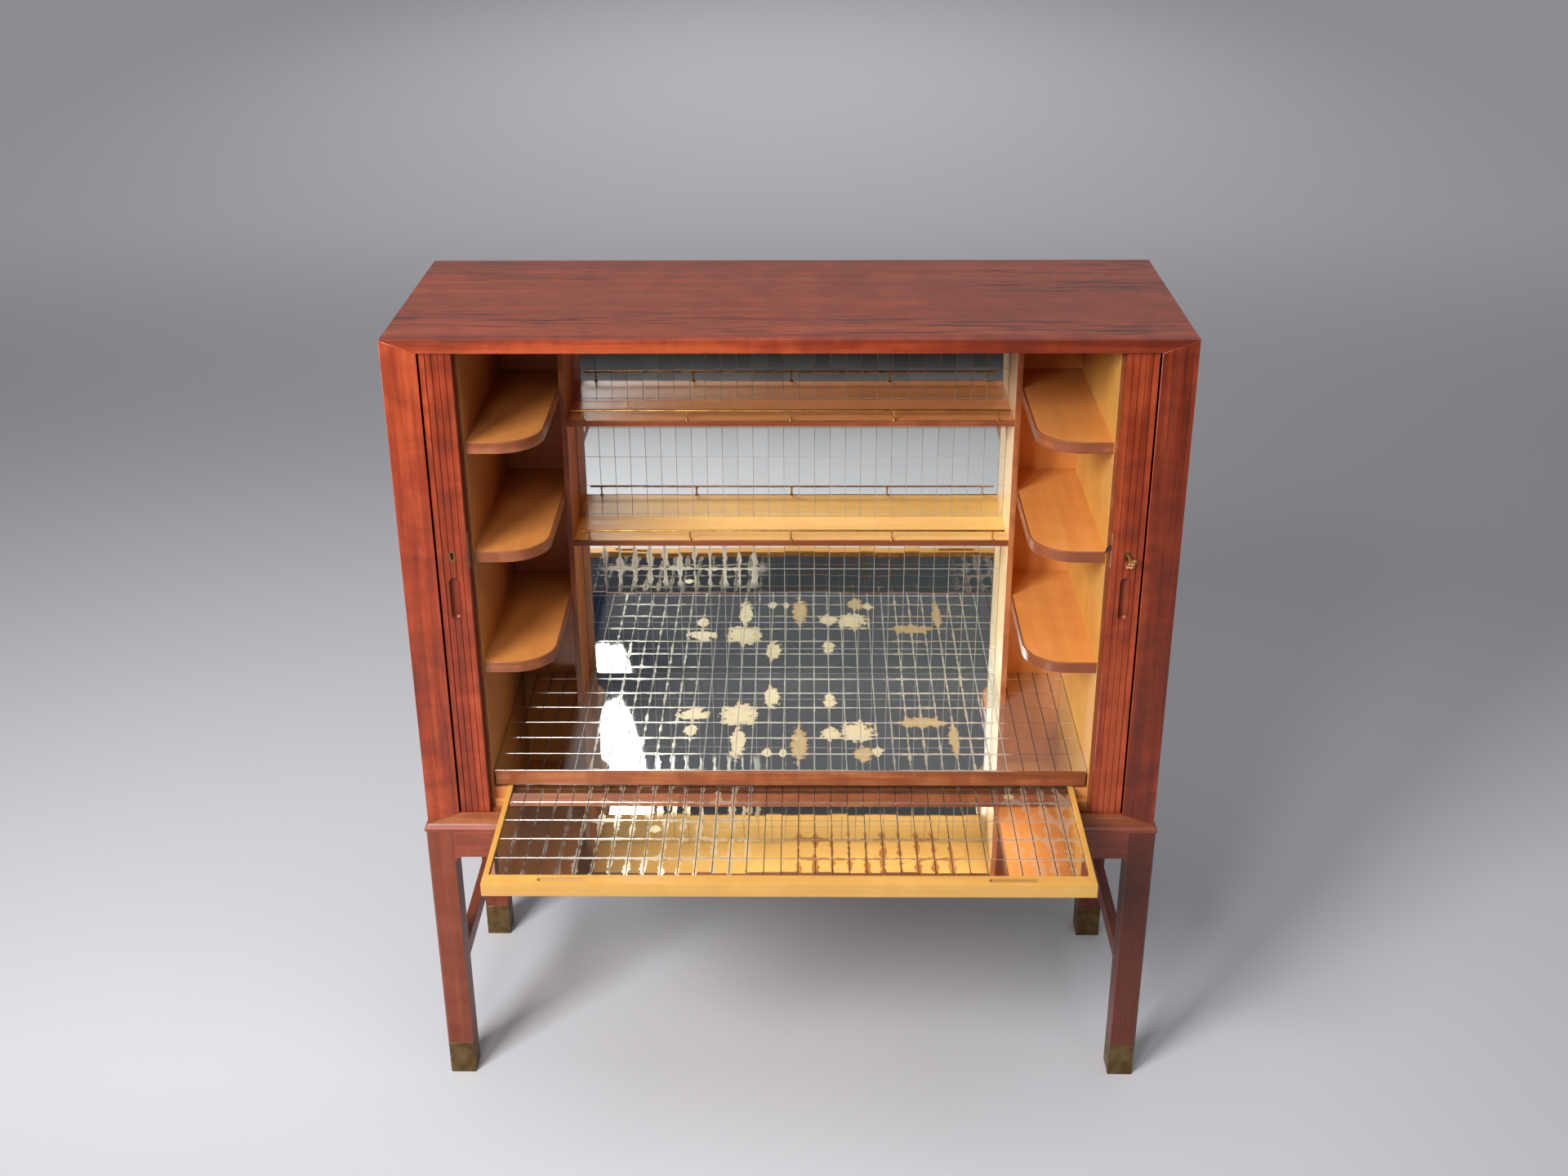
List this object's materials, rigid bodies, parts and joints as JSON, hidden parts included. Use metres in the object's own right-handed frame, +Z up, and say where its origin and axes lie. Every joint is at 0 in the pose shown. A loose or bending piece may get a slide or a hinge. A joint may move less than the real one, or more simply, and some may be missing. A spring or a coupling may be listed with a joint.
{
  "type": "cabinet on stand",
  "caption": "Cabinet on a square-legged stand: tambour doors run round into the sides, showing mirror-tiled bays, shelves with brass rails and a mirror tray that draws out",
  "frame": {"origin": "on the floor at the middle of the four feet", "axes": "+Z up, +Y towards the back, +X to the right seen from the front"},
  "size_m": [1.162, 0.674, 1.293],
  "materials": {
    "mahogany": "satin polish",
    "maple": "satin polish",
    "pale_maple": "satin polish",
    "edge_banding": "satin polish",
    "mirror_tile": "aged silvering",
    "brass": "polished",
    "aged_brass": "patinated",
    "nickel": "worn nickel",
    "dark_steel": "dark"
  },
  "bodies": {
    "cabinet": {"back_mirror": "mirror_tile", "back_panel": "mahogany", "bottom_board": "mahogany", "bottom_front_rail": "mahogany", "divider_lippings": "edge_banding", "false_back": "maple", "floor_board": "maple", "floor_mirror": "mirror_tile", "floor_nosing": "mahogany", "front_apron": "mahogany", "front_left_leg": "mahogany", "front_right_leg": "mahogany", "left_divider": "maple", "left_front_post": "mahogany", "left_liner": "maple", "left_side": "mahogany", "left_side_shelves": "maple", "leg_shoes": "aged_brass", "lower_gallery": "brass", "lower_shelf": "maple", "rear_apron": "mahogany", "rear_left_leg": "mahogany", "rear_right_leg": "mahogany", "right_divider": "maple", "right_front_post": "mahogany", "right_liner": "maple", "right_side": "mahogany", "right_side_shelves": "maple", "shelf_lippings": "edge_banding", "side_aprons": "mahogany", "side_shelf_lippings": "edge_banding", "side_stretchers": "mahogany", "stand_moulding": "mahogany", "top_board": "mahogany", "top_front_rail": "mahogany", "tray_runners": "maple", "upper_gallery": "brass", "upper_shelf": "maple"},
    "tray": {"tray_front_rail": "pale_maple", "tray_side_rails": "pale_maple", "tray_back_rail": "pale_maple", "tray_panel": "pale_maple", "tray_mirror": "mirror_tile"},
    "left_door": {"left_lead_stile": "mahogany", "left_front_slat": "mahogany", "left_escutcheon": "brass", "strike_plate": "nickel"},
    "right_door": {"right_lead_stile": "mahogany", "right_front_slat": "mahogany", "right_escutcheon": "brass", "lock_case": "nickel"},
    "left_side_leaf": {"left_side_slats": "mahogany"},
    "left_back_leaf": {"left_back_slats": "mahogany"},
    "right_side_leaf": {"right_side_slats": "mahogany"},
    "right_back_leaf": {"right_back_slats": "mahogany"},
    "hook": {"hook_bolt": "dark_steel"},
    "key": {"key": "brass"}
  },
  "joints": [
    {"name": "left_door_slide", "type": "slide", "parent": "cabinet", "child": "left_door", "axis": [-1, 0, 0], "range_m": [-0.4752, 0], "deforming": ["left_lead_stile", "left_front_slat", "left_side_slats", "left_back_slats"]},
    {"name": "right_door_slide", "type": "slide", "parent": "cabinet", "child": "right_door", "axis": [1, 0, 0], "range_m": [-0.4752, 0], "deforming": ["right_lead_stile", "right_front_slat", "right_side_slats", "right_back_slats"]},
    {"name": "tray_slide", "type": "slide", "parent": "cabinet", "child": "tray", "axis": [0, -1, 0], "range_m": [-0.266, 0]},
    {"name": "left_side_turn", "type": "hinge", "parent": "cabinet", "child": "left_side_leaf", "pos_m": [-0.283, 0.0595, 0.8945], "axis": [0, 0, 1], "range_deg": [0, 90]},
    {"name": "left_back_turn", "type": "hinge", "parent": "cabinet", "child": "left_back_leaf", "pos_m": [-0.4513, -0.005, 0.8945], "axis": [0, 0, 1], "range_deg": [0, 180]},
    {"name": "right_side_turn", "type": "hinge", "parent": "cabinet", "child": "right_side_leaf", "pos_m": [0.283, 0.0595, 0.8945], "axis": [0, 0, 1], "range_deg": [-90, 0]},
    {"name": "right_back_turn", "type": "hinge", "parent": "cabinet", "child": "right_back_leaf", "pos_m": [0.4513, -0.005, 0.8945], "axis": [0, 0, 1], "range_deg": [-180, 0]},
    {"name": "key_turn", "type": "hinge", "parent": "right_door", "child": "key", "pos_m": [0.49935, -0.2015, 0.9622], "axis": [0, -1, 0], "range_deg": [0, 90]},
    {"name": "hook_turn", "type": "hinge", "parent": "right_door", "child": "hook", "pos_m": [0.48645, -0.2015, 0.9707], "axis": [0, -1, 0], "range_deg": [-100, 0]}
  ],
  "couplings": [
    {"joint": "right_door_slide", "follows": "left_door_slide", "ratio": 1},
    {"joint": "tray_slide", "follows": "left_door_slide", "ratio": 0.55976},
    {"joint": "left_side_turn", "follows": "left_door_slide", "rad_per_m": -3.3055},
    {"joint": "left_back_turn", "follows": "left_door_slide", "rad_per_m": -6.6111},
    {"joint": "right_side_turn", "follows": "left_door_slide", "rad_per_m": 3.3055},
    {"joint": "right_back_turn", "follows": "left_door_slide", "rad_per_m": 6.6111},
    {"joint": "hook_turn", "follows": "key_turn", "ratio": -1.1111}
  ]
}
